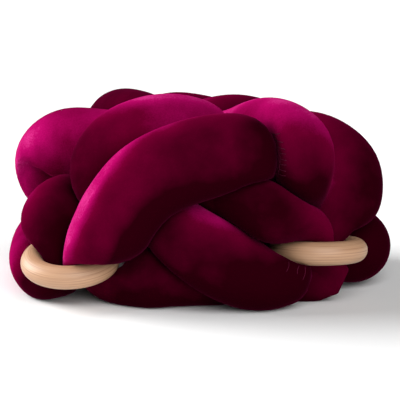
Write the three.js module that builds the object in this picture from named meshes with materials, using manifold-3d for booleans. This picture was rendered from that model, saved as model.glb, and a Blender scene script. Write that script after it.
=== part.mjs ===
// Knot ottoman: one long stuffed tube of velvet, closed at both ends and knotted on itself into a
// low round seat, with its two front crossings drawn through plain wooden rings.
// Millimetres. +X is to the right in the photo, +Y away from the viewer, +Z up, floor at z = 0.
import * as THREE from 'three';
import Module from 'manifold-3d';

const TUBE_RADIUS = 57;        // the stuffed tube where nothing presses on it, for most of its length
const TUBE_END_LENGTH = 80;    // how far each closed end takes to round off
const TUBE_STEP = 26.5;          // distance between sections along the tube
const TUBE_SIDES = 14;         // corners of each section
const TOUCH_GAP = 3;           // left between two turns of the tube where they press together
const TOUCH_FROM = 130;        // turns this far apart along the tube count as two, not as one bend
const FULLER_PUSH = 0.25;      // how far a fuller turn pushes a thinner one back, of the difference in radius
const BEND_GAP = 0.6;          // left between neighbouring sections on the inside of a tight bend
const GROWTH = 1.15;           // how fast the tube swells again after a squeeze, mm per mm
const EASING = 4;              // rounds of easing, so that squeezed velvet stays smooth
const LEAST_REACH = 4;         // the tube is never squeezed thinner than this
const END_SECTIONS = 3;        // sections at each closed end that keep their own rounding

const RING_RADIUS = 57;        // centre of the rod
const ROD_RADIUS = 17.5;
const RING_GAP = 0.3;          // between wood and velvet
const RING_SHOWS_TO = 14;      // behind its centre by more than this, the rod is sunk in the velvet
const RING_STEPS = 36;
const ROD_STEPS = 12;
const ROD_POINTS = 60;         // points along the rod that the velvet is measured from

const VELVET_COLOUR = '#8c0b47';
const WOOD_COLOUR = '#d6b08b';

// The wooden rings: where the centre is, and which way the ring faces.
const RINGS = {
  ring_left: { centre: [-193, -164, 65], facing: [-0.02, -0.24, 0.97] },
  ring_right: { centre: [179, -150, 79], facing: [0, 0.09, 1] },
};

// Half of the tube's middle line, from one closed end to the middle of its length, as it is laid.
// The other half repeats it, half a turn about Z and run backwards. Columns of a row: x, y, z.
// "other" moves the second lay of the same strand by x, y, z, since the two aren't quite alike.
// A strand that is stuffed fuller or drawn in tighter than the rest has a radius of its own.
const STRANDS = [
  { lies: 'front, low right, from the closed end', other: [0, 0, 0], radius: 61, rows: [
    [168, -188, 47], [118, -191, 52], [60, -202, 64]] },
  { lies: 'front, rising to the left', other: [0, 0, 0], radius: 63, rows: [
    [0, -202, 93], [-54, -170, 128]] },
  { lies: 'over the top on the left', other: [6, 0, -25], rows: [
    [-106, -142, 152], [-138, -135, 194], [-114, -126, 234], [-60, -116, 253], [-8, -108, 246],
    [34, -96, 222]] },
  { lies: 'down inside on the right', other: [0, 0, 0], rows: [
    [62, -68, 174], [74, -16, 136], [66, 42, 126], [40, 96, 130], [0, 134, 140]] },
  { lies: 'out at the back, low left', other: [0, 0, 4], radius: 59, rows: [
    [-54, 172, 170], [-98, 203, 157], [-128, 195, 118]] },
  { lies: 'turned back at the crossing; in the right ring on the other lay', other: [0, 2, 4], rows: [
    [-158, 173, 80], [-184, 156, 46]] },
  { lies: 'back foot', other: [0, 0, 0], rows: [
    [-144, 152, 46], [-100, 155, 50], [-36, 166, 54], [36, 172, 53], [104, 180, 46], [146, 172, 54]] },
  { lies: 'turned back at the crossing; in the left ring on the other lay', other: [4, 0, 2], rows: [
    [170, 172, 68]] },
  { lies: 'broad arm across the back, and across the front', other: [0, 0, 14], radius: 62, rows: [
    [135, 204, 88], [111, 216, 134], [74, 223, 179]] },
  { lies: 'broad arm over the middle', other: [0, 0, 14], radius: 61, rows: [
    [20, 223, 207], [-42, 216, 219]] },
  { lies: 'broad arm, drawn in where it is sewn down', other: [0, 0, 14], radius: 48, rows: [
    [-80, 208, 217], [-108, 152, 186]] },
  { lies: 'down inside on the left', other: [0, 0, 0], rows: [
    [-130, 48, 136], [-162, -30, 104]] },
  { lies: 'out at the front, left', other: [0, 0, -4], rows: [
    [-203, -86, 126], [-220, -124, 104]] },
  { lies: 'turned back in the left ring; at the crossing on the other lay', other: [0, 0, 0], rows: [
    [-211, -149, 70], [-221, -134, 48]] },
  { lies: 'left foot', other: [2, 0, 8], rows: [
    [-236, -92, 48], [-243, -36, 49], [-244, 34, 53], [-228, 96, 63]] },
  { lies: 'turned back at the crossing; in the right ring on the other lay', other: [-4, 0, 4], rows: [
    [-202, 136, 72]] },
  { lies: 'left shoulder', other: [-14, 0, -8], rows: [
    [-212, 116, 112], [-238, 82, 150], [-240, 42, 190], [-207, 12, 217]] },
  { lies: 'across the top', other: [0, 0, -4], rows: [
    [-148, -16, 218], [-80, -34, 212], [-10, -40, 212], [50, -60, 223]] },
  { lies: 'over the broad arm, down the front', other: [0, 0, -13], rows: [
    [104, -116, 248], [139, -194, 240], [143, -196, 208], [133, -132, 164]] },
  { lies: 'under the seat to the middle', other: [0, 0, 0], rows: [
    [116, -100, 108], [76, -56, 62], [0, 0, 46]] },
];

function middleLine() {
  const laid = STRANDS.flatMap(({ rows }) => rows.map((row) => new THREE.Vector3(...row)));
  const again = STRANDS.flatMap(({ rows, other }) => rows.map(([x, y, z]) =>
    new THREE.Vector3(other[0] - x, other[1] - y, other[2] + z)));
  again.pop();
  const curve = new THREE.CatmullRomCurve3([...laid, ...again.reverse()], false, 'catmullrom', 0.5);
  curve.arcLengthDivisions = 6000;
  return curve;
}

// How thick the stuffing makes the tube at evenly spaced points of its middle line.
function tubeRadii(curve, spaces) {
  const laid = STRANDS.flatMap(({ rows, radius = TUBE_RADIUS }) => rows.map(() => radius));
  const rows = [...laid, ...laid.slice(0, -1).reverse()];
  return Array.from({ length: spaces + 1 }, (_, i) => {
    const at = curve.getUtoTmapping(i / spaces) * (rows.length - 1);
    const row = Math.min(Math.floor(at), rows.length - 2);
    return THREE.MathUtils.lerp(rows[row], rows[row + 1], at - row);
  });
}

// Points around the middle of a ring's rod.
function ringPoints({ centre, facing }, count) {
  const axis = new THREE.Vector3(...facing).normalize();
  const across = new THREE.Vector3(1, 0, 0).addScaledVector(axis, -axis.x).normalize();
  const along = new THREE.Vector3().crossVectors(axis, across);
  return Array.from({ length: count }, (_, i) => {
    const angle = (2 * Math.PI * i) / count;
    return new THREE.Vector3(...centre)
      .addScaledVector(across, RING_RADIUS * Math.cos(angle))
      .addScaledVector(along, RING_RADIUS * Math.sin(angle));
  });
}

// Section directions that don't twist along the line.
function sectionDirections(middles) {
  const count = middles.length;
  const ahead = middles.map((_, i) => new THREE.Vector3()
    .subVectors(middles[Math.min(i + 1, count - 1)], middles[Math.max(i - 1, 0)]).normalize());
  let first = new THREE.Vector3(0, 0, 1);
  return ahead.map((axis) => {
    first = first.clone().addScaledVector(axis, -first.dot(axis)).normalize();
    const second = new THREE.Vector3().crossVectors(axis, first);
    return Array.from({ length: TUBE_SIDES }, (_, k) => {
      const angle = (2 * Math.PI * k) / TUBE_SIDES;
      return new THREE.Vector3()
        .addScaledVector(first, Math.cos(angle))
        .addScaledVector(second, Math.sin(angle));
    });
  });
}

// How far the velvet can reach from one point of the middle line in one direction, before it
// meets the floor, the wood or another turn of the tube pressing back just as hard.
function reach(i, direction, middles, radii, step, obstacles, fullRadius) {
  const from = middles[i];
  let far = fullRadius;
  if (direction.z < 0) far = Math.min(far, from.z / -direction.z);
  for (const obstacle of obstacles) {
    const towards = obstacle.clone().sub(from);
    const onRay = towards.dot(direction);
    const inside = onRay ** 2 - towards.lengthSq() + (ROD_RADIUS + RING_GAP) ** 2;
    if (onRay > 0 && inside > 0) far = Math.min(far, onRay - Math.sqrt(inside));
  }
  for (let j = 0; j < middles.length; j += 1) {
    const apart = Math.abs(i - j) * step;
    if (i === j) continue;
    const gap = apart > TOUCH_FROM ? TOUCH_GAP + FULLER_PUSH * (radii[j] - radii[i]) : BEND_GAP;
    const away = from.clone().sub(middles[j]);
    const facing = gap - away.dot(direction);
    if (facing > 0) far = Math.min(far, (away.lengthSq() - gap * gap) / (2 * facing));
  }
  return Math.max(far, LEAST_REACH);
}

function tubeReaches(middles, radii, directions, step, obstacles) {
  const last = middles.length - 1;
  const around = (k) => (k + TUBE_SIDES) % TUBE_SIDES;
  const limits = middles.map((_, i) => {
    const toEnd = Math.min(1, (Math.min(i, last - i) * step) / TUBE_END_LENGTH);
    const fullRadius = radii[i] * Math.sqrt(1 - (1 - toEnd) ** 2);
    return directions[i].map((direction) =>
      reach(i, direction, middles, radii, step, obstacles, fullRadius));
  });
  let reaches = limits.map((row) => [...row]);
  const hold = (i, k, fromRow, fromSide, room) => {
    reaches[i][k] = Math.min(reaches[i][k], reaches[fromRow][around(fromSide)] + GROWTH * room);
  };
  const side = (2 * Math.PI * TUBE_RADIUS) / TUBE_SIDES;
  for (let i = END_SECTIONS + 1; i <= last - END_SECTIONS; i += 1) {
    for (let k = 0; k < 2 * TUBE_SIDES; k += 1) hold(i, around(k), i, k - 1, side);
    for (let k = 2 * TUBE_SIDES; k > 0; k -= 1) hold(i, around(k), i, k + 1, side);
    for (let k = 0; k < TUBE_SIDES; k += 1) hold(i, k, i - 1, k, step);
  }
  for (let i = last - END_SECTIONS - 1; i >= END_SECTIONS; i -= 1) {
    for (let k = 0; k < TUBE_SIDES; k += 1) hold(i, k, i + 1, k, step);
  }
  for (let round = 0; round < EASING; round += 1) {
    reaches = reaches.map((row, i) => row.map((own, k) => {
      if (i < END_SECTIONS || i > last - END_SECTIONS) return own;
      const near = reaches[i - 1][k] + reaches[i + 1][k] + row[around(k - 1)] + row[around(k + 1)];
      return Math.min(limits[i][k], (2 * own + near) / 6);
    }));
  }
  return reaches;
}

const wasm = await Module();
wasm.setup();

function solid({ points, triangles }) {
  return new wasm.Manifold(new wasm.Mesh({
    numProp: 3,
    vertProperties: Float32Array.from(points.flatMap((point) => point.toArray())),
    triVerts: Uint32Array.from(triangles),
  }));
}

// A closed skin over rows of points; the first and last row are single points.
function skin(first, rows, last) {
  const sides = rows[0].length;
  const points = [first, ...rows.flat(), last];
  const triangles = [];
  const at = (row, k) => 1 + row * sides + (k % sides);
  for (let k = 0; k < sides; k += 1) {
    triangles.push(0, at(0, k + 1), at(0, k));
    for (let row = 0; row + 1 < rows.length; row += 1) {
      const [a, b, c, d] = [at(row, k), at(row, k + 1), at(row + 1, k), at(row + 1, k + 1)];
      triangles.push(a, b, d, a, d, c);
    }
    triangles.push(at(rows.length - 1, k), at(rows.length - 1, k + 1), points.length - 1);
  }
  return { points, triangles };
}

// The tube is joined up from short lengths, so that turns pressed into each other make one clean solid.
function velvetTube(obstacles) {
  const curve = middleLine();
  const spaces = Math.round(curve.getLength() / TUBE_STEP);
  const step = curve.getLength() / spaces;
  const middles = curve.getSpacedPoints(spaces);
  const directions = sectionDirections(middles);
  const reaches = tubeReaches(middles, tubeRadii(curve, spaces), directions, step, obstacles);
  const sections = middles.map((middle, i) => directions[i].map((direction, k) => {
    const point = middle.clone().addScaledVector(direction, reaches[i][k]);
    point.z = Math.max(point.z, 0);
    return point;
  }));
  const lengths = middles.slice(1).map((end, i) => {
    const rows = [i, i + 1].filter((n) => n > 0 && n < spaces).map((n) => sections[n]);
    return solid(skin(middles[i], rows, end));
  });
  return wasm.Manifold.union(lengths);
}

// A round rod bent to a closed ring.
function woodenRing(place, rodRadius) {
  const axis = new THREE.Vector3(...place.facing).normalize();
  const centre = new THREE.Vector3(...place.centre);
  const points = [];
  const triangles = [];
  ringPoints(place, RING_STEPS).forEach((middle, i) => {
    const outward = middle.clone().sub(centre).normalize();
    const at = (n, k) => (n % RING_STEPS) * ROD_STEPS + (k % ROD_STEPS);
    for (let k = 0; k < ROD_STEPS; k += 1) {
      const angle = (2 * Math.PI * k) / ROD_STEPS;
      points.push(middle.clone()
        .addScaledVector(outward, rodRadius * Math.cos(angle))
        .addScaledVector(axis, rodRadius * Math.sin(angle)));
      triangles.push(at(i, k), at(i + 1, k + 1), at(i, k + 1), at(i, k), at(i + 1, k), at(i + 1, k + 1));
    }
  });
  return { points, triangles };
}

function namedMesh(name, body, colour, roughness) {
  const { vertProperties, triVerts } = body.getMesh();
  const geometry = new THREE.BufferGeometry();
  geometry.setAttribute('position', new THREE.BufferAttribute(Float32Array.from(vertProperties), 3));
  geometry.setIndex(Array.from(triVerts));
  geometry.computeVertexNormals();
  const material = new THREE.MeshStandardMaterial({ color: colour, roughness, metalness: 0 });
  const mesh = new THREE.Mesh(geometry, material);
  mesh.name = name;
  return mesh;
}

// Where the rod shows, the velvet bulges around it.
const obstacles = Object.values(RINGS).flatMap((place) => ringPoints(place, ROD_POINTS)
  .filter((point) => point.y < place.centre[1] + RING_SHOWS_TO));
let tube = velvetTube(obstacles);
for (const place of Object.values(RINGS)) {
  tube = tube.subtract(solid(woodenRing(place, ROD_RADIUS + RING_GAP)));
}
// Slits sealed between turns that press together count as solid.
tube = tube.decompose().reduce((most, body) => (body.volume() > most.volume() ? body : most));

const ottoman = new THREE.Group();
ottoman.name = 'knot_ottoman';
ottoman.add(namedMesh('velvet_tube', tube, VELVET_COLOUR, 0.95));
for (const [name, place] of Object.entries(RINGS)) {
  ottoman.add(namedMesh(name, solid(woodenRing(place, ROD_RADIUS)), WOOD_COLOUR, 0.55));
}

// The origin is under the middle of the whole ottoman.
const middle = new THREE.Box3().setFromObject(ottoman).getCenter(new THREE.Vector3());
for (const mesh of ottoman.children) mesh.geometry.translate(-middle.x, -middle.y, 0);

export default ottoman;
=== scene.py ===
import math

import bpy
import numpy as np
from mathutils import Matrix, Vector
from mathutils.bvhtree import BVHTree


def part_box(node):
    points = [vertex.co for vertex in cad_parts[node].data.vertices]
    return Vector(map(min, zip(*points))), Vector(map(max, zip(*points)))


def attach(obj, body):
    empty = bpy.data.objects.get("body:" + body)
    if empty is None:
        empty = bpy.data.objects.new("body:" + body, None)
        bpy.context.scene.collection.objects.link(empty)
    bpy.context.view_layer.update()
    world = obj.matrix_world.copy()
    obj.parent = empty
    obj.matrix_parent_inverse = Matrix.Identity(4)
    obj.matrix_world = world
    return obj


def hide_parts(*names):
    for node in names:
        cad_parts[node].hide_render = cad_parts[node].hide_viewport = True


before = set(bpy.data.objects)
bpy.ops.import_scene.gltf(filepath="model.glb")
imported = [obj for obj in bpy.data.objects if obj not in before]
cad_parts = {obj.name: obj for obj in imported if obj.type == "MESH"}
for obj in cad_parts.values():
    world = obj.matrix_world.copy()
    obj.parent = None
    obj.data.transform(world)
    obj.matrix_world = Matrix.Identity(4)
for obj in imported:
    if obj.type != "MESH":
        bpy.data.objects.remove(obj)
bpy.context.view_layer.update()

# The velvet tube: a sleeve of velvet about 7 m long, sewn along its length, packed hard with fibre and
# closed at both ends. It is knotted on itself into a low round seat, and it bulges around whatever
# presses on it: its own turns, the floor and the wooden rings. Sizes are in millimetres.
MM = 0.001
TUBE_RADIUS = 57.0
TUBE_END_LENGTH = 80.0  # over which a closed end is rounded off
TUBE_STEP = 6.6
TUBE_SIDES = 80
CURVE_STEPS = 40  # of the curve between two rows of the route
TOUCH_GAP = 0.8  # between turns that press on each other
TOUCH_FROM = 130.0  # along the tube, from where on another stretch counts as another turn
BEND_FROM = 40.0  # along the tube, from where on a bend presses on itself
FULLER_PUSH = 0.25  # how far a fuller turn pushes a thinner one back, of the difference in radius
GROWTH = 1.15  # how far the velvet swells out again for each millimetre beside a squeeze
LEAST_REACH = 4.0  # so that no section closes up
EASING_ROUNDS = 14
END_SECTIONS = 4  # at each closed end, which are not eased
NEARLY_ZERO = 1e-6

# The rings that the tube is drawn through: where the middle is, which way the ring faces, and the way in
# which it goes out of sight, where the velvet closes over it.
RING_RADIUS = 57.0
ROD_RADIUS = 17.5
ROD_GAP = 0.3
ROD_POINTS = 90  # around a ring, where the velvet is kept off its rod
RING_SHOWS_TO = 14.0  # past the ring's middle, towards where it goes out of sight
RINGS = {
    "ring_left": {"centre": (-193, -164, 65), "facing": (-0.02, -0.24, 0.97), "hides": (0, 1, 0)},
    "ring_right": {"centre": (179, -150, 79), "facing": (0, 0.09, 1), "hides": (-0.3, 0.95, 0)},
}

# Half of the tube's middle line, from a closed end to the middle under the seat. The other half is the
# same half a turn around, and "other" moves its strand by x, y, z. "nap" is how light the velvet of the
# strand, and of the other, is painted: 0 is dark, as pile that lies flat, 1 is pink, as pile on end, and
# below 0 darker still, as pile pressed down. It is partly the pile's own lie and partly painted shade
# where a strand lies under or behind others, and painted light where the key light falls. "lay" is the
# side, x, y, z, that is painted lighter and pinker, mostly up and to the left towards the key light,
# longer where
# more: a painted highlight there and painted shade on the far flank. Strands without one have
# PAINTED_LIGHT_SIDE.
# Both together give at most NAP_AND_PAINTED_LIGHT_MOST. Columns of a row: x, y, z.
PAINTED_LIGHT_SIDE = (-0.6, 0.1, 0.6)
NAP_AND_PAINTED_LIGHT_MOST = 0.78
STRANDS = [
    {"lies": "front, low right, from the closed end", "other": (0, 0, 0), "radius": 61,
     "nap_and_painted_light": (-0.15, 0.1), "lay": ((0.4, -0.1, 0.6), PAINTED_LIGHT_SIDE),
     "rows": [(168, -188, 47), (118, -191, 52)]},
    {"lies": "front, low, coming up from the floor", "other": (0, 0, 0), "radius": 61, "nap_and_painted_light": (0.0, 0.1),
     "lay": ((0.4, -0.1, 0.6), PAINTED_LIGHT_SIDE), "rows": [(60, -202, 64)]},
    {"lies": "front, rising to the left", "other": (0, 0, 0), "radius": 63, "nap_and_painted_light": (0.1, 0.15),
     "lay": ((0.4, -0.1, 0.85), PAINTED_LIGHT_SIDE),
     "rows": [(0, -202, 93), (-54, -170, 128)]},
    {"lies": "up the left side", "other": (6, 0, -25), "radius": 57, "nap_and_painted_light": (0.05, 0.1),
     "lay": ((-0.1, 0.1, 0.6), PAINTED_LIGHT_SIDE),
     "rows": [(-106, -142, 152), (-138, -135, 194)]},
    {"lies": "left end of the top", "other": (6, 0, -25), "radius": 57, "nap_and_painted_light": (0.3, 0.1),
     "lay": ((0.1, 0.5, 0.85), PAINTED_LIGHT_SIDE), "rows": [(-114, -126, 234)]},
    {"lies": "over the top on the left", "other": (6, 0, -25), "radius": 57, "nap_and_painted_light": (0.55, 0.1),
     "lay": ((0.1, 0.5, 0.85), PAINTED_LIGHT_SIDE),
     "rows": [(-60, -116, 253), (-8, -108, 246), (34, -96, 222)]},
    {"lies": "down inside on the right", "other": (0, 0, 0), "radius": 57, "nap_and_painted_light": (0.1, 0.1),
     "rows": [(62, -68, 174), (74, -16, 136), (66, 42, 126), (40, 96, 130), (0, 134, 140)]},
    {"lies": "out at the back, low left", "other": (0, 0, 4), "radius": 59, "nap_and_painted_light": (0.15, 0.05),
     "lay": (PAINTED_LIGHT_SIDE, (0.5, 0.0, 0.6)),
     "rows": [(-54, 172, 170), (-98, 203, 157)]},
    {"lies": "down to the crossing", "other": (0, 0, 4), "radius": 58, "nap_and_painted_light": (0.15, 0.1),
     "lay": (PAINTED_LIGHT_SIDE, (0.6, 0.0, 0.4)),
     "rows": [(-128, 195, 118)]},
    {"lies": "turned back at the crossing; the other in the right ring", "other": (0, 2, 4),
     "radius": 57, "nap_and_painted_light": (0.15, 0.2),
     "lay": (PAINTED_LIGHT_SIDE, (0.3, -0.3, 0.5)), "rows": [(-158, 173, 80), (-184, 156, 46)]},
    {"lies": "back foot; the other front foot", "other": (0, 0, 0), "radius": 57, "nap_and_painted_light": (0.1, 0.1),
     "rows": [(-144, 152, 46), (-100, 155, 50), (-36, 166, 54), (36, 172, 53), (104, 180, 46),
              (146, 172, 54)]},
    {"lies": "turned back at the crossing; the other in the left ring", "other": (4, 0, 2),
     "radius": 57, "nap_and_painted_light": (0.15, 0.5),
     "lay": (PAINTED_LIGHT_SIDE, (-1.3, 0.4, 0.2)), "rows": [(170, 172, 68)]},
    {"lies": "broad arm, rising across the back; the other across the front", "other": (0, 0, 14),
     "radius": 62, "nap_and_painted_light": (0.2, 0.25),
     "lay": (PAINTED_LIGHT_SIDE, (-1.3, 0.45, 0.2)),
     "rows": [(135, 204, 88), (111, 216, 134), (74, 223, 179)]},
    {"lies": "broad arm, over the middle", "other": (0, 0, 14), "radius": 61, "nap_and_painted_light": (0.2, 0.15),
     "lay": (PAINTED_LIGHT_SIDE, (-0.5, 0.2, 0.6)),
     "rows": [(20, 223, 207), (-42, 216, 219)]},
    {"lies": "broad arm, up to where it is sewn down", "other": (0, 0, 14), "radius": 54,
     "nap_and_painted_light": (0.15, -0.1), "rows": [(-83, 208, 217)]},
    {"lies": "broad arm, drawn in behind the crease", "other": (0, 0, 14), "radius": 48,
     "nap_and_painted_light": (0.15, 0.1), "rows": [(-108, 152, 186)]},
    {"lies": "down inside on the left", "other": (0, 0, 0), "radius": 57, "nap_and_painted_light": (0.1, 0.1),
     "rows": [(-130, 48, 136), (-162, -30, 104)]},
    {"lies": "out at the front, left", "other": (0, 0, -4), "radius": 57, "nap_and_painted_light": (0.1, 0.1),
     "lay": ((-0.5, 0.1, 0.5), PAINTED_LIGHT_SIDE),
     "rows": [(-203, -86, 126), (-220, -124, 104)]},
    {"lies": "turned back in the left ring; the other at the crossing", "other": (0, 0, 0),
     "radius": 57, "nap_and_painted_light": (-0.15, 0.1), "rows": [(-211, -149, 70), (-221, -134, 48)]},
    {"lies": "left foot", "other": (2, 0, 8), "radius": 57, "nap_and_painted_light": (0.5, -0.2),
     "lay": ((-0.5, 0.0, 0.0), PAINTED_LIGHT_SIDE),
     "rows": [(-236, -92, 48), (-243, -36, 49), (-244, 34, 53), (-228, 96, 63)]},
    {"lies": "turned back at the crossing; the other in the right ring", "other": (-4, 0, 4),
     "radius": 57, "nap_and_painted_light": (0.15, 0.15), "rows": [(-202, 136, 72)]},
    {"lies": "left shoulder", "other": (-14, 0, -8), "radius": 57, "nap_and_painted_light": (0.45, 0.05),
     "lay": ((-0.75, -0.1, 0.15), (-0.5, 0.1, 0.85)),
     "rows": [(-212, 116, 112), (-238, 82, 150), (-240, 42, 190), (-207, 12, 217)]},
    {"lies": "across the top", "other": (0, 0, -4), "radius": 57, "nap_and_painted_light": (0.45, 0.15),
     "rows": [(-148, -16, 218), (-80, -34, 212), (-10, -40, 212), (50, -60, 223)]},
    {"lies": "over the broad arm", "other": (0, 0, -13), "radius": 57, "nap_and_painted_light": (0.55, 0.0),
     "lay": ((0.15, 0.2, 0.65), (-0.35, 0.1, 0.4)),
     "rows": [(104, -116, 248), (136, -194, 240)]},
    {"lies": "down the front", "other": (0, 0, -13), "radius": 57, "nap_and_painted_light": (-0.2, 0.1),
     "lay": ((0.9, -0.1, 0.3), PAINTED_LIGHT_SIDE),
     "rows": [(140, -196, 208), (133, -132, 164)]},
    {"lies": "under the seat to the middle", "other": (0, 0, 0), "radius": 57, "nap_and_painted_light": (0.1, 0.1),
     "rows": [(116, -100, 108), (76, -56, 62), (0, 0, 46)]},
]

# Folds that the stuffing can't fill out. The crease runs from "start" to "end", where it is deepest, and
# "lip" is the way to its overhanging side. It goes in by "depth" and dies away over "below" and "above" on
# its two sides. Only skin less than "thick" in front of it or behind it moves, and only on the strand
# whose middle passes within "strand" of the end.
FOLD_DEEPENS = 0.35  # the lower, the sooner after its start the crease is deep
FOLDS = [
    {"start": (-290, 8, 191), "end": (-244, -15, 164), "lip": (0.4, 0.0, 0.9), "depth": 60.0,
     "below": 20.0, "above": 2.5, "thick": 40.0, "strand": 80.0},
]


def middle_line():
    """Points evenly spaced along a smooth curve through the rows, and the radius, painted lightness and
    lit side at each.
    """
    laid = [row for strand in STRANDS for row in strand["rows"]]
    again = [
        (strand["other"][0] - x, strand["other"][1] - y, strand["other"][2] + z)
        for strand in STRANDS for x, y, z in strand["rows"]
    ]
    traits = [
        [(strand["radius"], strand["nap_and_painted_light"][half], *strand.get("lay", (PAINTED_LIGHT_SIDE, PAINTED_LIGHT_SIDE))[half])
         for strand in STRANDS for _ in strand["rows"]]
        for half in (0, 1)
    ]
    points = np.array(laid + again[-2::-1], float)
    traits = np.array(traits[0] + traits[1][-2::-1], float)
    ends = np.vstack([2 * points[0] - points[1], points, 2 * points[-1] - points[-2]])
    slopes = (ends[2:] - ends[:-2]) / 2
    t = np.linspace(0, 1, CURVE_STEPS, endpoint=False)[:, None]
    spans = [
        (2 * t**3 - 3 * t**2 + 1) * points[i] + (t**3 - 2 * t**2 + t) * slopes[i]
        + (3 * t**2 - 2 * t**3) * points[i + 1] + (t**3 - t**2) * slopes[i + 1]
        for i in range(len(points) - 1)
    ]
    fine = np.vstack([*spans, points[-1:]])
    row = np.arange(len(fine)) / len(t)
    fine_traits = [np.interp(row, np.arange(len(points)), column) for column in traits.T]
    along = np.concatenate([[0], np.cumsum(np.linalg.norm(np.diff(fine, axis=0), axis=1))])
    even = np.linspace(0, along[-1], round(along[-1] / TUBE_STEP) + 1)
    columns = np.stack([np.interp(even, along, column) for column in (*fine.T, *fine_traits)], axis=1)
    return columns[:, :3], columns[:, 3], columns[:, 4], columns[:, 5:]


def section_directions(middles, sides):
    """Directions around each section, carried along the line without twisting."""
    ahead = np.gradient(middles, axis=0)
    ahead /= np.linalg.norm(ahead, axis=1)[:, None]
    angles = np.linspace(0, 2 * math.pi, sides, endpoint=False)[:, None]
    first = np.array([0.0, 0.0, 1.0])
    directions = []
    for axis in ahead:
        first = first - axis * first.dot(axis)
        first /= np.linalg.norm(first)
        directions.append(np.cos(angles) * first + np.sin(angles) * np.cross(axis, first))
    return np.array(directions)


def ring_circle(place, angles):
    """Points on the middle of a ring's rod, and the directions that make up its plane."""
    axis = np.array(place["facing"], float)
    axis /= np.linalg.norm(axis)
    across = np.array([1.0, 0, 0]) - axis * axis[0]
    across /= np.linalg.norm(across)
    outward = np.cos(angles)[:, None] * across + np.sin(angles)[:, None] * np.cross(axis, across)
    return np.array(place["centre"], float) + RING_RADIUS * outward, outward, axis


def free_reach(middles, radii, directions):
    """How far the velvet gets from each middle before the floor, the wood or another turn stops it."""
    along = np.arange(len(middles)) * TUBE_STEP
    to_end = np.clip(np.minimum(along, along[::-1]) / TUBE_END_LENGTH, 0, 1)
    full = radii * np.sqrt(1 - (1 - to_end) ** 2)
    limits = np.repeat(full[:, None], TUBE_SIDES, axis=1)
    fall = np.maximum(-directions[:, :, 2], NEARLY_ZERO)
    limits = np.minimum(limits, middles[:, None, 2] / fall)
    angles = np.linspace(0, 2 * math.pi, ROD_POINTS, endpoint=False)
    rods = []
    for place in RINGS.values():
        rod = ring_circle(place, angles)[0]
        rods.extend(rod[(rod - place["centre"]) @ place["hides"] < RING_SHOWS_TO])
    rods = np.array(rods)
    for i, middle in enumerate(middles):
        apart = np.abs(along - along[i])
        turns = apart >= BEND_FROM
        firmer = FULLER_PUSH * (radii[turns] - radii[i])
        gap = np.where(apart[turns] > TOUCH_FROM, TOUCH_GAP + firmer, 0.0)
        # The velvet stops where the other turn's middle is further away than its own by only the gap.
        away = middle - middles[turns]
        facing = gap - directions[i] @ away.T
        halfway = (np.sum(away**2, axis=1) - gap**2) / (2 * np.maximum(facing, NEARLY_ZERO))
        # The rod is taken as a string of balls, and the velvet stops at the first one in its way.
        towards = rods - middle
        on_ray = directions[i] @ towards.T
        inside = on_ray**2 - np.sum(towards**2, axis=1) + (ROD_RADIUS + ROD_GAP) ** 2
        wood = np.where((on_ray > 0) & (inside > 0), on_ray - np.sqrt(np.maximum(inside, 0)), np.inf)
        limits[i] = np.minimum(limits[i], np.minimum(halfway.min(axis=1), wood.min(axis=1)))
    return np.maximum(limits, LEAST_REACH)


def settled_reach(limits):
    """How far out the velvet settles, swelling gently beside each squeeze, with its shoulders eased."""
    reaches = limits.copy()
    side = 2 * math.pi * TUBE_RADIUS / TUBE_SIDES
    for turn in range(1, TUBE_SIDES // 2):
        for way in (turn, -turn):
            reaches = np.minimum(reaches, np.roll(limits, way, axis=1) + GROWTH * side * turn)
    for i in range(END_SECTIONS, len(reaches) - END_SECTIONS):
        reaches[i] = np.minimum(reaches[i], reaches[i - 1] + GROWTH * TUBE_STEP)
    for i in range(len(reaches) - END_SECTIONS - 1, END_SECTIONS, -1):
        reaches[i] = np.minimum(reaches[i], reaches[i + 1] + GROWTH * TUBE_STEP)
    for _ in range(EASING_ROUNDS):
        near = np.roll(reaches, 1, axis=1) + np.roll(reaches, -1, axis=1)
        near[1:-1] += reaches[2:] + reaches[:-2]
        eased = np.minimum(limits, (2 * reaches + near) / 6)
        reaches[END_SECTIONS:-END_SECTIONS] = eased[END_SECTIONS:-END_SECTIONS]
    return reaches


def pressed_folds(skin, middles, directions):
    """The skin with each fold pressed in along its line, deepest at the end and gone a length past it."""
    for fold in FOLDS:
        start = np.array(fold["start"])
        end = np.array(fold["end"])
        line = end - start
        length = np.linalg.norm(line)
        line = line / length
        lip = np.array(fold["lip"]) - line * line.dot(fold["lip"])
        lip /= np.linalg.norm(lip)
        run = (skin - start) @ line / length
        along = np.clip(run, 0, 1) ** FOLD_DEEPENS * np.clip(2 - run, 0, 1)
        above = (skin - start) @ lip
        nearby = np.abs((skin - start) @ np.cross(line, lip)) < fold["thick"]
        fall = np.where(above > 0, above / fold["above"], -above / fold["below"])
        folded = np.linalg.norm(middles - end, axis=1)[:, None] < fold["strand"]
        press = fold["depth"] * along * np.exp(-fall) * nearby * folded
        skin = skin - directions * press[:, :, None]
    return skin


def add_mesh(name, points, faces):
    """A smooth-shaded mesh object; the points are in millimetres."""
    mesh = bpy.data.meshes.new(name)
    mesh.from_pydata([tuple(point) for point in np.asarray(points) * MM], [], faces)
    mesh.shade_smooth()
    piece = bpy.data.objects.new(name, mesh)
    bpy.context.scene.collection.objects.link(piece)
    return piece


def tube_faces(count, sides):
    """Faces over rows of points, with a single point closing each end."""
    last = count * sides + 1
    faces = []
    for k in range(sides):
        after = (k + 1) % sides
        faces.append((0, 1 + after, 1 + k))
        faces.append((last, last - sides + k, last - sides + after))
        for row in range(count - 1):
            a = 1 + row * sides
            faces.append((a + k, a + after, a + sides + after, a + sides + k))
    return faces


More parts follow.
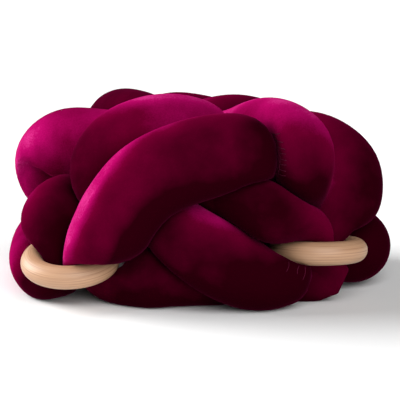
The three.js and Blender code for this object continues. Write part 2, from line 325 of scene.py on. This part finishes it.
middles, radii, naps_and_painted_light, lays = middle_line()
directions = section_directions(middles, TUBE_SIDES)
reaches = settled_reach(free_reach(middles, radii, directions))
skin = pressed_folds(middles[:, None] + directions * reaches[:, :, None], middles, directions)
skin[:, :, 2] = np.maximum(skin[:, :, 2], 0)

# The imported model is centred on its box, so the route is moved by as much as its left ring was.
low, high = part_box("ring_left")
to_frame = np.array([*((low + high) / 2 / MM)]) - np.array(RINGS["ring_left"]["centre"])
to_frame[2] = 0
tube_points = np.vstack([middles[:1], skin[1:-1].reshape(-1, 3), middles[-1:]]) + to_frame
skin_faces = tube_faces(len(middles) - 2, TUBE_SIDES)
tube = add_mesh("velvet_tube_skin", tube_points, skin_faces)

# Each flank is painted lighter and pinker the more it faces its strand's "lay" side, which is mostly up
# and to the left towards the key light, and darker the more it faces away. This is painted light and
# painted shade, laid on the strand's "nap" and capped at NAP_AND_PAINTED_LIGHT_MOST.
pile_and_painted_light = naps_and_painted_light[:, None] + np.einsum("ikx,ix->ik", directions, lays) ** 3
pile_and_painted_light = np.minimum(pile_and_painted_light, NAP_AND_PAINTED_LIGHT_MOST)
pile_and_light_values = tube.data.attributes.new("nap_and_painted_light", "FLOAT", "POINT")
pile_and_light_values.data.foreach_set("value", np.concatenate([naps_and_painted_light[:1], pile_and_painted_light[1:-1].ravel(), naps_and_painted_light[-1:]]))


def linear(hex_colour):
    """An sRGB hex colour as linear red, green, blue and alpha."""
    parts = [int(hex_colour[i:i + 2], 16) / 255 for i in (1, 3, 5)]
    return (*[c / 12.92 if c <= 0.04045 else ((c + 0.055) / 1.055) ** 2.4 for c in parts], 1.0)


def add_node(tree, kind, settings, inputs):
    """Adds a node with its settings. An input that is a node or a socket is linked, any other is set."""
    node = tree.nodes.new(kind)
    for name, value in settings.items():
        setattr(node, name, value)
    for name, value in inputs.items():
        socket = next((s for s in node.inputs if s.identifier == name), None) or node.inputs[name]
        if isinstance(value, bpy.types.Node):
            value = next(output for output in value.outputs if output.enabled)
        if isinstance(value, bpy.types.NodeSocket):
            tree.links.new(value, socket)
        else:
            socket.default_value = value
    return node


def new_material(name):
    """A material with no nodes yet, and its node tree."""
    material = bpy.data.materials.new(name)
    material.use_nodes = True
    material.node_tree.nodes.clear()
    return material, material.node_tree


# Cut-pile velvet, dyed magenta, coloured from the painted lightness on the skin: dark crimson where it is
# low and pink where it is high. That lightness is partly the lie of the pile and partly painted light and
# shade, so the pink is also a painted highlight on the lit flanks and the crimson a painted shade. Soft
# random patches make it uneven, and single tufts show as lighter and darker specks, drawn coarser than
# real pile so that they show.
PILE_FLAT_AND_SHADE = "#260009"
PILE_HALF = "#5c0024"
PILE_BRUSHED_AND_LIT = "#980652"
PILE_TIPS_AND_HIGHLIGHT = "#d23c8c"
PILE_EDGE = "#ff3a94"
HALF_AT = 0.4
BRUSHED_AT = 0.75
NAP_PATCH = 60.0
PATCH_STRENGTH = 0.4
PILE_TUFT = 2.2
PILE_HEIGHT = 0.8
SPECK_STRENGTH = 0.36
velvet, tree = new_material("cut_pile_velvet_magenta")
place = add_node(tree, "ShaderNodeTexCoord", {}, {})
nap_and_painted_light = add_node(tree, "ShaderNodeAttribute", {"attribute_name": "nap_and_painted_light"}, {})
patches = add_node(tree, "ShaderNodeTexNoise", {}, {
    "Vector": place.outputs["Object"], "Scale": 1 / (NAP_PATCH * MM), "Detail": 3.0, "Roughness": 0.55})
tufts = add_node(tree, "ShaderNodeTexNoise", {}, {
    "Vector": place.outputs["Object"], "Scale": 1 / (PILE_TUFT * MM), "Detail": 2.0})
uneven = add_node(tree, "ShaderNodeMath", {"operation": "MULTIPLY_ADD"}, {
    "Value": patches, "Value_001": PATCH_STRENGTH, "Value_002": -PATCH_STRENGTH / 2})
painted_light_uneven = add_node(tree, "ShaderNodeMath", {"operation": "ADD", "use_clamp": True}, {
    "Value": nap_and_painted_light.outputs["Fac"], "Value_001": uneven})
specks = add_node(tree, "ShaderNodeMath", {"operation": "MULTIPLY_ADD"}, {
    "Value": tufts, "Value_001": SPECK_STRENGTH, "Value_002": 1 - SPECK_STRENGTH / 2})
lightness = add_node(tree, "ShaderNodeMath", {"operation": "MULTIPLY", "use_clamp": True}, {
    "Value": painted_light_uneven, "Value_001": specks})
# The ramp runs from painted shade through the pile's crimson to a painted pink highlight.
shade = add_node(tree, "ShaderNodeValToRGB", {}, {"Fac": lightness})
shade.color_ramp.elements[0].color = linear(PILE_FLAT_AND_SHADE)
shade.color_ramp.elements[1].color = linear(PILE_TIPS_AND_HIGHLIGHT)
shade.color_ramp.elements.new(HALF_AT).color = linear(PILE_HALF)
shade.color_ramp.elements.new(BRUSHED_AT).color = linear(PILE_BRUSHED_AND_LIT)
pile = add_node(tree, "ShaderNodeBump", {}, {
    "Height": tufts, "Strength": 0.35, "Distance": PILE_HEIGHT * MM})
surface = add_node(tree, "ShaderNodeBsdfPrincipled", {}, {
    "Base Color": shade, "Roughness": 0.9, "IOR": 1.46, "Specular IOR Level": 0.0,
    "Sheen Weight": 0.1, "Sheen Roughness": 0.3, "Sheen Tint": linear(PILE_EDGE),
    "Normal": pile})
add_node(tree, "ShaderNodeOutputMaterial", {}, {"Surface": surface})
tube.data.materials.append(velvet)
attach(tube, "root")
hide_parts("velvet_tube")

# The sewing: blanket stitches in linen thread, by hand, where the broad arm tucks under the strand on its
# right, so that the knot can't work loose. One thread runs down the edge of the crease, and at each
# stitch it goes out over the strand.
THREAD_RADIUS = 0.5
THREAD_SIDES = 6
THREAD_LIFT = 0.3
STITCHES = 8
STITCH_POINTS = 9
EDGE_POINTS = 48
STITCH_TOP = 262.0
STITCH_BOTTOM = 206.0
STITCH_FROM_CREASE = 2.5
STITCH_LENGTH = 8.5
STITCH_SLANTS = (4.0, 0.5, -0.8, 0.6, -0.4, 1.0, -0.6, 0.3)  # of the far end, upwards
CREASE_BETWEEN = (96.0, 122.0)  # x, where the crease is looked for
CREASE_STEP = 0.5
FRONT_OF_SEAT = -400.0  # y, well clear of the velvet
skin_tree = BVHTree.FromPolygons([tuple(point) for point in tube_points], skin_faces)


def on_front(x, z):
    """The point of the velvet seen from the front at this width and height, with a thread's lift."""
    hit = skin_tree.ray_cast(Vector((x, FRONT_OF_SEAT, z)), Vector((0, 1, 0)))[0]
    return np.array(hit) - (0, THREAD_LIFT, 0)


def add_threads(name, lines, radius):
    """One mesh of separate threads, each a fine closed tube along its line."""
    points = []
    faces = []
    for line in lines:
        line = np.array(line)
        rows = line[:, None] + radius * section_directions(line, THREAD_SIDES)
        faces.extend(tuple(len(points) + i for i in face) for face in tube_faces(len(line), THREAD_SIDES))
        points.extend([line[0], *rows.reshape(-1, 3), line[-1]])
    return add_mesh(name, points, faces)


def crease_edge(z):
    """How far to the right the strand's edge of the crease is at this height."""
    across = np.arange(*CREASE_BETWEEN, CREASE_STEP)
    return max(across, key=lambda x: on_front(x, z)[1]) + STITCH_FROM_CREASE


heights = np.linspace(STITCH_TOP, STITCH_BOTTOM, STITCHES)
edge_heights = np.linspace(STITCH_TOP, STITCH_BOTTOM, EDGE_POINTS)
stitch_lines = [[on_front(crease_edge(z), z) for z in edge_heights]]
for z, slant in zip(heights, STITCH_SLANTS):
    edge = crease_edge(z)
    shares = np.linspace(0, 1, STITCH_POINTS)
    stitch_lines.append([on_front(edge + STITCH_LENGTH * t, z + slant * t) for t in shares])

# Waxed linen thread, dyed to match and dulled by the wax: a faint grey-purple line.
THREAD_COLOUR = "#4a1a30"
THREAD_TWIST = 1.5
linen, tree = new_material("waxed_linen_thread_dyed")
twist = add_node(tree, "ShaderNodeTexNoise", {}, {
    "Vector": add_node(tree, "ShaderNodeTexCoord", {}, {}).outputs["Object"],
    "Scale": 1 / (THREAD_TWIST * MM), "Detail": 1.0})
spun = add_node(tree, "ShaderNodeMix", {"data_type": "RGBA"}, {
    "Factor_Float": twist, "A_Color": linear(THREAD_COLOUR), "B_Color": linear(PILE_HALF)})
surface = add_node(tree, "ShaderNodeBsdfPrincipled", {}, {
    "Base Color": spun, "Roughness": 0.8, "IOR": 1.53, "Specular IOR Level": 0.1})
add_node(tree, "ShaderNodeOutputMaterial", {}, {"Surface": surface})
stitches = add_threads("blanket_stitches", stitch_lines, THREAD_RADIUS)
stitches.data.materials.append(linen)
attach(stitches, "root")

# Loose thread ends: three fine ends of the same thread, left hanging on the strand under the right ring.
# Columns: x and z of the top, x and z of the tip, and how far it bows to the right.
LOOSE_RADIUS = 0.4
LOOSE_POINTS = 8
LOOSE_ENDS = [(129, 78, 125, 66, 1.5), (146, 72, 142, 60, -2.0), (153, 70, 150, 50, 2.5)]
loose_lines = []
for top_x, top_z, tip_x, tip_z, bow in LOOSE_ENDS:
    line = []
    for share in np.linspace(0, 1, LOOSE_POINTS):
        x = top_x + (tip_x - top_x) * share + bow * math.sin(math.pi * share)
        line.append(on_front(x, top_z + (tip_z - top_z) * share))
    loose_lines.append(line)
loose = add_threads("loose_thread_ends", loose_lines, LOOSE_RADIUS)
loose.data.materials.append(linen)
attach(loose, "root")

# The wooden rings: plain beech rods, turned, steamed, bent round and joined at the back, then sanded and
# oiled thinly. The tube's turned-back bends are pulled through them, so they hold by the squeeze of the
# stuffing alone.
RING_STEPS = 160
ROD_STEPS = 48

# Beech, sanded smooth and oiled: pale and warm, with fine darker lines along the rod that the oil brings
# out, and a soft shine.
BEECH_LIGHT = "#cca686"
BEECH_DARK = "#9a6e4e"
BEECH_LINE = "#84583a"
GRAIN_WIDTH = 2.6
GRAIN_LENGTH = 90.0
LINE_WIDTH = 1.3
LINE_LENGTH = 100.0
LINES_FROM = 0.54
LINES_FULL = 0.7
LINES_DARKEN = 0.6
PORE_DEPTH = 0.3
beech, tree = new_material("turned_beech_oiled")
place = add_node(tree, "ShaderNodeAttribute", {"attribute_name": "in_the_rod"}, {})
stretch = add_node(tree, "ShaderNodeMapping", {}, {
    "Vector": place.outputs["Vector"],
    "Scale": (1 / GRAIN_LENGTH, 1 / GRAIN_WIDTH, 1 / GRAIN_WIDTH)})
grain = add_node(tree, "ShaderNodeTexNoise", {}, {
    "Vector": stretch, "Scale": 1.0, "Detail": 4.0, "Roughness": 0.6})
board = add_node(tree, "ShaderNodeMix", {"data_type": "RGBA"}, {
    "Factor_Float": grain, "A_Color": linear(BEECH_LIGHT), "B_Color": linear(BEECH_DARK)})
narrow = add_node(tree, "ShaderNodeMapping", {}, {
    "Vector": place.outputs["Vector"],
    "Scale": (1 / LINE_LENGTH, 1 / LINE_WIDTH, 1 / LINE_WIDTH)})
years = add_node(tree, "ShaderNodeTexNoise", {}, {"Vector": narrow, "Scale": 1.0, "Detail": 1.0})
year_lines = add_node(tree, "ShaderNodeMapRange", {}, {
    "Value": years, "From Min": LINES_FROM, "From Max": LINES_FULL,
    "To Min": 0.0, "To Max": LINES_DARKEN})
tone = add_node(tree, "ShaderNodeMix", {"data_type": "RGBA"}, {
    "Factor_Float": year_lines, "A_Color": board, "B_Color": linear(BEECH_LINE)})
pores = add_node(tree, "ShaderNodeBump", {"invert": True}, {
    "Height": year_lines, "Strength": 0.3, "Distance": PORE_DEPTH * MM})
surface = add_node(tree, "ShaderNodeBsdfPrincipled", {}, {
    "Base Color": tone, "Roughness": 0.45, "IOR": 1.5, "Normal": pores})
add_node(tree, "ShaderNodeOutputMaterial", {}, {"Surface": surface})

for name, where in RINGS.items():
    rod_angles = math.pi / 2 + np.linspace(0, 2 * math.pi, RING_STEPS, endpoint=False)
    middle, outward, axis = ring_circle(where, rod_angles)
    around = np.linspace(0, 2 * math.pi, ROD_STEPS, endpoint=False)[None, :, None]
    rod = middle[:, None] + ROD_RADIUS * (np.cos(around) * outward[:, None] + np.sin(around) * axis)
    faces = []
    for i in range(RING_STEPS):
        here = i * ROD_STEPS
        there = (i + 1) % RING_STEPS * ROD_STEPS
        for k in range(ROD_STEPS):
            after = (k + 1) % ROD_STEPS
            faces.append((here + k, there + k, there + after, here + after))
    ring = add_mesh(f"{name}_turned", rod.reshape(-1, 3) + to_frame, faces)
    lengthwise = np.broadcast_to(RING_RADIUS * rod_angles[:, None, None], (RING_STEPS, ROD_STEPS, 1))
    section = np.concatenate([np.cos(around), np.sin(around)], 2)
    across = np.broadcast_to(section, (RING_STEPS, ROD_STEPS, 2))
    in_the_rod = ring.data.attributes.new("in_the_rod", "FLOAT_VECTOR", "POINT")
    in_the_rod.data.foreach_set("vector", np.concatenate([lengthwise, ROD_RADIUS * across], 2).ravel())
    ring.data.materials.append(beech)
    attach(ring, "root")
    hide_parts(name)

# The studio: a plain pale floor that runs out of sight, one large soft light from the left and a little
# behind, a weaker fill from the front, and a trace of light from all around.
FLOOR_HALF = 30000.0
FLOOR_COLOUR = "#f2f2f2"
KEY_FROM = (-1.3, 0.3, 0.7)
KEY_STRENGTH = 5.3
KEY_SPREAD = math.radians(50)
FILL_FROM = (0.4, -1.0, 0.7)
FILL_STRENGTH = 2.8
FILL_SPREAD = math.radians(60)
AIR_STRENGTH = 0.05
floor_corners = [(FLOOR_HALF * x, FLOOR_HALF * y, 0) for x, y in ((-1, -1), (1, -1), (1, 1), (-1, 1))]
floor = add_mesh("studio_floor", floor_corners, [(0, 1, 2, 3)])
pale, tree = new_material("studio_floor_pale_paint")
surface = add_node(tree, "ShaderNodeBsdfPrincipled", {}, {
    "Base Color": linear(FLOOR_COLOUR), "Roughness": 0.9, "Specular IOR Level": 0.0})
add_node(tree, "ShaderNodeOutputMaterial", {}, {"Surface": surface})
floor.data.materials.append(pale)


def add_sun(name, place, strength, spread):
    """A soft light that shines from this direction; the wider its spread, the softer its shadows."""
    light = bpy.data.lights.new(name, "SUN")
    light.energy = strength
    light.angle = spread
    lamp = bpy.data.objects.new(name, light)
    lamp.location = place
    lamp.rotation_euler = (-Vector(place)).to_track_quat("-Z", "Y").to_euler()
    bpy.context.scene.collection.objects.link(lamp)


add_sun("key_softbox", KEY_FROM, KEY_STRENGTH, KEY_SPREAD)
add_sun("front_fill", FILL_FROM, FILL_STRENGTH, FILL_SPREAD)
world = bpy.data.worlds.new("studio_air")
world.use_nodes = True
background = world.node_tree.nodes["Background"]
background.inputs["Color"].default_value = (1, 1, 1, 1)
background.inputs["Strength"].default_value = AIR_STRENGTH
bpy.context.scene.world = world
bpy.context.scene.view_settings.view_transform = "Standard"

# The camera: a long lens, low in front of the seat.
CAMERA_TARGET = Vector((0, 0, 128)) * MM
CAMERA_DISTANCE = 2400 * MM
CAMERA_ELEVATION = math.radians(10)
CAMERA_LENS = 135.0
SENSOR_WIDTH = 36.0
lens = bpy.data.cameras.new("camera")
lens.lens = CAMERA_LENS
lens.sensor_width = SENSOR_WIDTH
camera = bpy.data.objects.new("camera", lens)
back = Vector((0, -math.cos(CAMERA_ELEVATION), math.sin(CAMERA_ELEVATION)))
camera.location = CAMERA_TARGET + back * CAMERA_DISTANCE
camera.rotation_euler = (-back).to_track_quat("-Z", "Y").to_euler()
bpy.context.scene.collection.objects.link(camera)
bpy.context.scene.camera = camera
